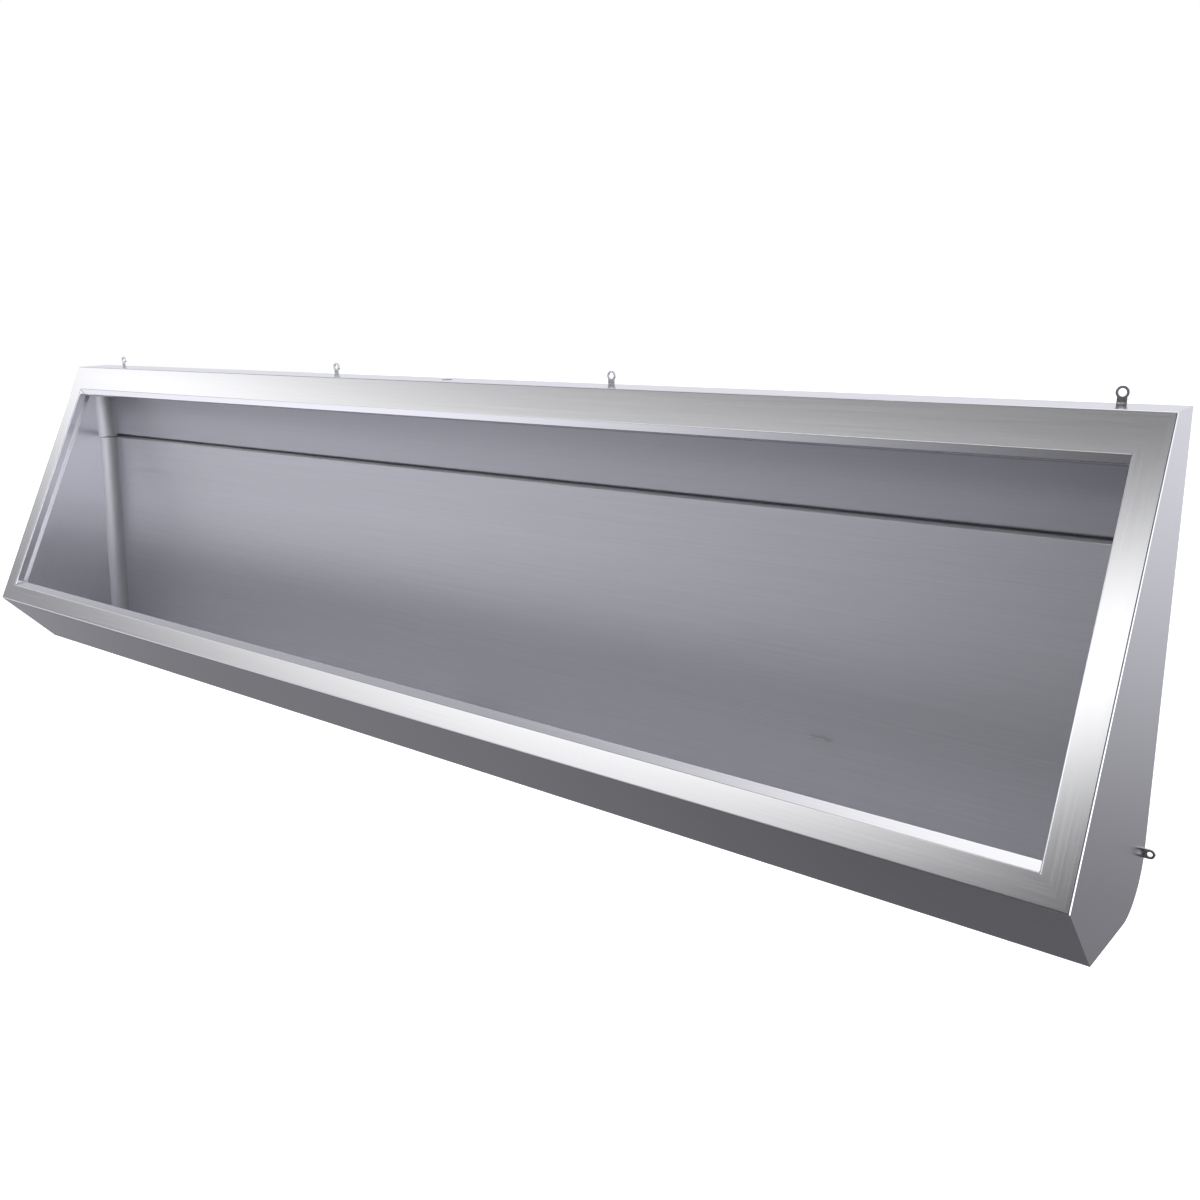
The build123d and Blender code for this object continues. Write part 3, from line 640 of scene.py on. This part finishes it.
class URINAL_OT_inlet(bpy.types.Operator):
    """Threaded socket of the water inlet"""

    bl_idname = "urinal.inlet"
    bl_label = "Water inlet"

    def execute(self, context):
        detail = context.scene.urinal_detail
        low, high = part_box("inlet_socket")
        outer, top, foot = (high[0] - low[0]) / 2, high[2], low[2]
        bore, port, floor_thickness = 0.0095, 0.0050, 0.0030
        chamfer, edge, start_gap, mouth_gap = 0.0008, 0.0004, 0.0006, 0.0009
        floor = foot + floor_thickness
        wound = np.linspace(floor + start_gap, top - mouth_gap, 52)
        rows = [(port, foot), (port, floor), (bore, floor)]
        rows += [(bore, z) for z in wound]
        rows += [(bore + chamfer, top), (outer - edge, top), (outer, top - edge)]
        rows += [(outer, foot + chamfer), (outer - chamfer, foot)]
        cut = thread(bore, detail.thread_depth, detail.inlet_pitch, wound[0], wound[-1], False)
        axis_foot = ((low[0] + high[0]) / 2, (low[1] + high[1]) / 2, 0.0)
        shell = turned(rows, axis_foot, UP, 72, cut, ring=True)
        tube = bpy.data.materials["drawn_tube"]
        piece = add_piece("threaded_inlet", [shell], tube, BODY)
        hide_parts("inlet_socket")
        return {"FINISHED"}


class URINAL_OT_fasteners(bpy.types.Operator):
    """Domed rivets, and the chamfered screw and nut of the earthing point"""

    bl_idname = "urinal.fasteners"
    bl_label = "Fasteners"

    corner = 0.0058  # from the middle of the hexagons to their corners
    chamfered = 0.0050
    chamfer = 0.0007

    def execute(self, context):
        self.rivets()
        zinc = bpy.data.materials["zinc_plate"]
        flats = hexagon(2 * self.corner * math.cos(math.pi / 6))
        self.bolt(zinc, flats)
        self.nut(zinc, flats)
        return {"FINISHED"}

    def rivets(self):
        """Shank and domed head, two to each pipe clip."""
        low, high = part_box("clip_rivets")
        head, shank, point, dome = 0.0032, 0.0016, 0.0011, 0.0008
        grip, head_edge = 0.0026, 0.0001
        rows = [(point, 0), (shank, 0.0003), (shank, 0.0024), (head - head_edge, 0.00242), (head, grip)]
        rows += [(head * math.cos(a), grip + dome * math.sin(a)) for a in (0.35, 0.7, 1.05, 1.3)]
        shells = [
            turned(rows, (side * x, high[1], z), OUT, 20)
            for x in CLIP_PLACES
            for side in (-1, 1)
            for z in (low[2] + head, high[2] - head)
        ]
        piece = add_piece("domed_rivets", shells, bpy.data.materials["drawn_tube"], BODY)
        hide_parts("clip_rivets")

    def bolt(self, zinc, flats):
        """Hexagon head on a shank with fine ridges."""
        low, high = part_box("earth_screw")
        middle = ((low[0] + high[0]) / 2, high[1], (low[2] + high[2]) / 2)
        point, shank, head_height = 0.0022, 0.0030, 0.0045
        pitch, depth, step = 0.001, 0.00045, 0.00025
        reach = high[1] - low[1]
        head_foot = reach - head_height
        ridges = np.arange(self.chamfer, head_foot - 0.0006, step)
        rows = [(point, 0)]
        rows += [(shank - depth * (0.5 + 0.5 * math.cos(2 * math.pi * h / pitch)), h) for h in ridges]
        rows += [(shank, head_foot), (self.corner, head_foot)]
        rows += [(self.corner, reach - self.chamfer), (self.chamfered, reach)]
        shell = turned(rows, middle, OUT, 36, flats)
        piece = add_piece("earth_bolt", [shell], zinc, BODY)
        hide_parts("earth_screw")

    def nut(self, zinc, flats):
        """Hexagon nut, chamfered on both sides."""
        low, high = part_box("earth_nut")
        middle = ((low[0] + high[0]) / 2, high[1], (low[2] + high[2]) / 2)
        deep = high[1] - low[1]
        hole, mouth, mouth_depth = 0.0031, 0.0036, 0.0005
        rows = [(mouth, 0), (hole, mouth_depth), (hole, deep - mouth_depth), (mouth, deep)]
        rows += [(self.chamfered, deep), (self.corner, deep - self.chamfer)]
        rows += [(self.corner, self.chamfer), (self.chamfered, 0)]
        shell = turned(rows, middle, OUT, 36, flats, ring=True)
        piece = add_piece("earth_hex_nut", [shell], zinc, BODY)
        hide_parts("earth_nut")


class URINAL_OT_seams(bpy.types.Operator):
    """Weld beads and spot welds"""

    bl_idname = "urinal.seams"
    bl_label = "Welds"

    def execute(self, context):
        size = context.scene.urinal_detail.bead_radius
        weld = bpy.data.materials["weld_metal"]
        beads = [self.cup_bead(size), *self.lug_beads(size), *self.bracket_beads(size)]
        add_piece("weld_beads", beads, weld, BODY)
        add_piece("spot_welds", self.spots(), weld, BODY)
        return {"FINISHED"}

    def cup_bead(self, size):
        """Ring in the corner between the waste cup and the sloping floor."""
        low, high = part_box("waste_cup")
        stand_off = size * 0.4
        radius = (high[0] - low[0]) / 2 + stand_off
        t = np.linspace(0, 2 * np.pi, 240, endpoint=False)
        y = (low[1] + high[1]) / 2 + radius * np.sin(t)
        ring = np.stack([radius * np.cos(t), y, floor_height(y) - stand_off], axis=-1)
        return weld_bead(ring, UP, size, closed=True)

    def lug_beads(self, size):
        """Short beads on the ledge in front of the fixing lugs."""
        half = 0.0056
        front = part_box("fixing_lugs")[0][1]
        for x in LUG_PLACES:
            path = line((x - half, front, LEDGE_HEIGHT), (x + half, front, LEDGE_HEIGHT), 0.0008)
            yield weld_bead(path, UP, size * 0.8)

    def bracket_beads(self, size):
        """Beads along the tops of the heel brackets, where they meet the back."""
        low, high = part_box("heel_brackets")
        half, bracket_half, inset = 0.019, 0.020, 0.0004
        y, z = low[1] + inset, high[2]
        for side in (-1, 1):
            middle = side * (high[0] - bracket_half)
            path = line((middle - half, y, z), (middle + half, y, z), 0.001)
            yield weld_bead(path, UP, size)

    def spots(self):
        """Low round domes where the stiffeners' feet are spot-welded to the floor."""
        run = np.array([0.0, math.cos(FLOOR_SLOPE), math.sin(FLOOR_SLOPE)])
        down = np.array([0.0, math.sin(FLOOR_SLOPE), -math.cos(FLOOR_SLOPE)])
        start = np.array([0.0, STIFFENER_START, floor_height(STIFFENER_START)]) + STIFFENER_SHEET * down
        rows = [(0.0026, -0.0001), (0.0026, 0.0001), (0.0021, 0.00025), (0.0012, 0.00035)]
        foot_offset, spacing, first = 0.015, 0.027, 0.012
        for place in STIFFENER_PLACES:
            for foot in (-foot_offset, foot_offset):
                for number in range(4):
                    along = first + spacing * number
                    yield turned(rows, start + np.array([place + foot, 0, 0]) + run * along, down, 16)


class URINAL_OT_stage(bpy.types.Operator):
    """Pale floor, soft studio light and the camera"""

    bl_idname = "urinal.stage"
    bl_label = "Stage"

    def execute(self, context):
        stage = context.scene.urinal_stage
        self.floor(stage)
        self.light(context.scene)
        self.camera(context.scene, stage)
        return {"FINISHED"}

    def floor(self, stage):
        """Flat square, seen only from above."""
        half, z = stage.floor_half, -stage.floor_drop
        points = [(-half, -half, z), (half, -half, z), (half, half, z), (-half, half, z)]
        mesh = bpy.data.meshes.new("floor")
        mesh.from_pydata(points, [], [(0, 1, 2, 3)])
        material, graph = new_material("pale_floor")
        place = graph.add("ShaderNodeTexCoord")["Object"]
        soft = graph.noise(place, 3.0, 2.0, 0.5)
        colour = graph.mix_colour(soft, (0.90, 0.90, 0.90, 1), (0.94, 0.94, 0.94, 1))
        pale = graph.add("ShaderNodeBsdfDiffuse", None, {"Color": colour})[0]
        glow = graph.add("ShaderNodeEmission", None, {"Color": (1, 1, 1, 1), "Strength": 0.55})[0]
        lit = graph.add("ShaderNodeAddShader", None, {0: pale, 1: glow})[0]
        clear = graph.add("ShaderNodeBsdfTransparent")[0]
        below = graph.add("ShaderNodeNewGeometry")["Backfacing"]
        surface = graph.add("ShaderNodeMixShader", None, {0: below, 1: lit, 2: clear})[0]
        graph.add("ShaderNodeOutputMaterial", None, {"Surface": surface})
        mesh.materials.append(material)
        floor = bpy.data.objects.new("floor", mesh)
        bpy.context.scene.collection.objects.link(floor)
        floor.visible_glossy = False
        floor.visible_diffuse = False
        floor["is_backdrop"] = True

    def light(self, scene):
        """Soft studio light from the world: a pale room behind, dim in front, and soft boxes.

        The light from a direction is floor_light(elevation) * around(azimuth) plus soft boxes, where
        azimuth is counted in degrees from the user's side towards +X. The long box's middle line rises
        with azimuth as a parabola. Its light falls off as exp(-(above / depth)^2), where the depth
        differs over and under the line and shrinks towards the box's ends."""
        world = bpy.data.worlds.new("studio")
        world.use_nodes = True
        scene.world = world
        graph = Graph(world.node_tree)
        ray = graph.add("ShaderNodeTexCoord")["Generated"]
        parts = graph.add("ShaderNodeSeparateXYZ", None, {0: ray})
        x, y, z = parts[0], parts[1], parts[2]
        azimuth = x.math("ARCTAN2", y * -1.0) * (180 / math.pi)
        elevation = z.math("ARCSINE") * (180 / math.pi)

        def rise(value, low, high):
            """Smooth step from 0 at low to 1 at high."""
            settings = {"interpolation_type": "SMOOTHSTEP"}
            return graph.add("ShaderNodeMapRange", settings, {"Value": value, 1: low, 2: high})[0]

        def bell(distance):
            """1 in the middle, falling off as exp(-distance squared)."""
            return (distance * distance * -1.0).math("EXPONENT")

        def soft_box(centre, height, width, depth, strength):
            return bell((azimuth - centre) / width) * bell((elevation - height) / depth) * strength

        def depth_at(across, middle, bend, widest):
            """Depth of the long box, widest at one place and never under 4.5 degrees."""
            off = across - middle
            return (off * off * -bend + widest).math("MAXIMUM", 4.5)

        across = azimuth + 45.0
        above = elevation - (across * across * 0.0044 + across * 0.25 + 25.0)
        over = depth_at(across, 2.0, 0.0077, 11.0)
        under = depth_at(across, 3.0, 0.0055, 9.0)
        depth = rise(above, -1.0, 1.0) * (over - under) + under
        ends = rise(azimuth, -98.0, -66.0) * rise(azimuth * -1.0, -12.0, 8.0)
        band = bell(above / depth) * ends * (across * 0.016 + 2.02)
        floor_light = rise(elevation, -31.0, -2.0) * 0.74 + rise(elevation, -66.0, -36.0) * 0.12 + 0.14
        behind = rise((azimuth - 2.0).math("ABSOLUTE"), 62.0, 108.0) * 0.84 + 0.08
        around = behind.math("MAXIMUM", rise(elevation * -1.0, 32.0, 56.0) * 0.7)
        top = rise(elevation, 50.0, 76.0) * 1.1
        below = rise(elevation * -1.0, 68.0, 84.0) * 0.34
        room = floor_light * around + below
        cooled = room + soft_box(*FRONT_BOX) + soft_box(*RIGHT_BOX)
        cool = graph.mix_colour(1.0, COOL_TINT, (1, 1, 1, 1), "MULTIPLY")
        scaled = {"operation": "SCALE"}
        colour = graph.add("ShaderNodeVectorMath", scaled, {0: cool, "Scale": cooled})[0]
        pale = band + top
        white = graph.add("ShaderNodeCombineXYZ", None, {0: pale, 1: pale, 2: pale})[0]
        total = graph.add("ShaderNodeVectorMath", {"operation": "ADD"}, {0: colour, 1: white})[0]
        seen = graph.add("ShaderNodeLightPath")["Is Camera Ray"]
        shown = graph.mix_colour(seen, total, (1, 1, 1, 1))
        background = graph.add("ShaderNodeBackground", None, {"Color": shown, "Strength": 1.0})[0]
        graph.add("ShaderNodeOutputWorld", None, {"Surface": background})

    def camera(self, scene, stage):
        """Camera at the photograph's place and angle, with plain colours."""
        scene.view_settings.view_transform = "Standard"
        data = bpy.data.cameras.new("camera")
        data.sensor_width = 36.0
        data.lens = stage.lens
        data.clip_end = 100.0
        turn = (
            Matrix.Rotation(stage.camera_yaw, 4, "Z")
            @ Matrix.Rotation(stage.camera_pitch, 4, "X")
            @ Matrix.Rotation(stage.camera_roll, 4, "Y")
            @ Matrix.Rotation(QUARTER_TURN, 4, "X")
        )
        camera = bpy.data.objects.new("camera", data)
        camera.matrix_world = Matrix.Translation(Vector(stage.camera_place)) @ turn
        scene.collection.objects.link(camera)
        scene.camera = camera


class URINAL_PT_panel(bpy.types.Panel):
    """Lists the urinal's settings and steps"""

    bl_idname = "URINAL_PT_panel"
    bl_label = "Trough urinal"
    bl_space_type = "VIEW_3D"
    bl_region_type = "UI"
    bl_category = "Urinal"

    def draw(self, context):
        layout, scene = self.layout, context.scene
        for group in (scene.urinal_finish, scene.urinal_detail, scene.urinal_stage):
            box = layout.box()
            for name in group.__annotations__:
                box.prop(group, name)
        for operator in STEPS:
            layout.operator(operator.bl_idname)


STEPS = (
    URINAL_OT_sheet,
    URINAL_OT_fittings,
    URINAL_OT_waste,
    URINAL_OT_inlet,
    URINAL_OT_fasteners,
    URINAL_OT_seams,
    URINAL_OT_stage,
)
CLASSES = (UrinalFinish, UrinalDetail, UrinalStage, *STEPS, URINAL_PT_panel)


def register():
    for cls in CLASSES:
        bpy.utils.register_class(cls)
    bpy.types.Scene.urinal_finish = bpy.props.PointerProperty(type=UrinalFinish)
    bpy.types.Scene.urinal_detail = bpy.props.PointerProperty(type=UrinalDetail)
    bpy.types.Scene.urinal_stage = bpy.props.PointerProperty(type=UrinalStage)


def unregister():
    del bpy.types.Scene.urinal_stage
    del bpy.types.Scene.urinal_detail
    del bpy.types.Scene.urinal_finish
    for cls in reversed(CLASSES):
        bpy.utils.unregister_class(cls)


def main():
    register()
    for step in STEPS:
        category, name = step.bl_idname.split(".")
        getattr(getattr(bpy.ops, category), name)()
    boxes = {"cad": cad_box, "visual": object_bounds()}
    sizes = {name: [list(corner) for corner in box] for name, box in boxes.items()}


if __name__ == "__main__":
    main()
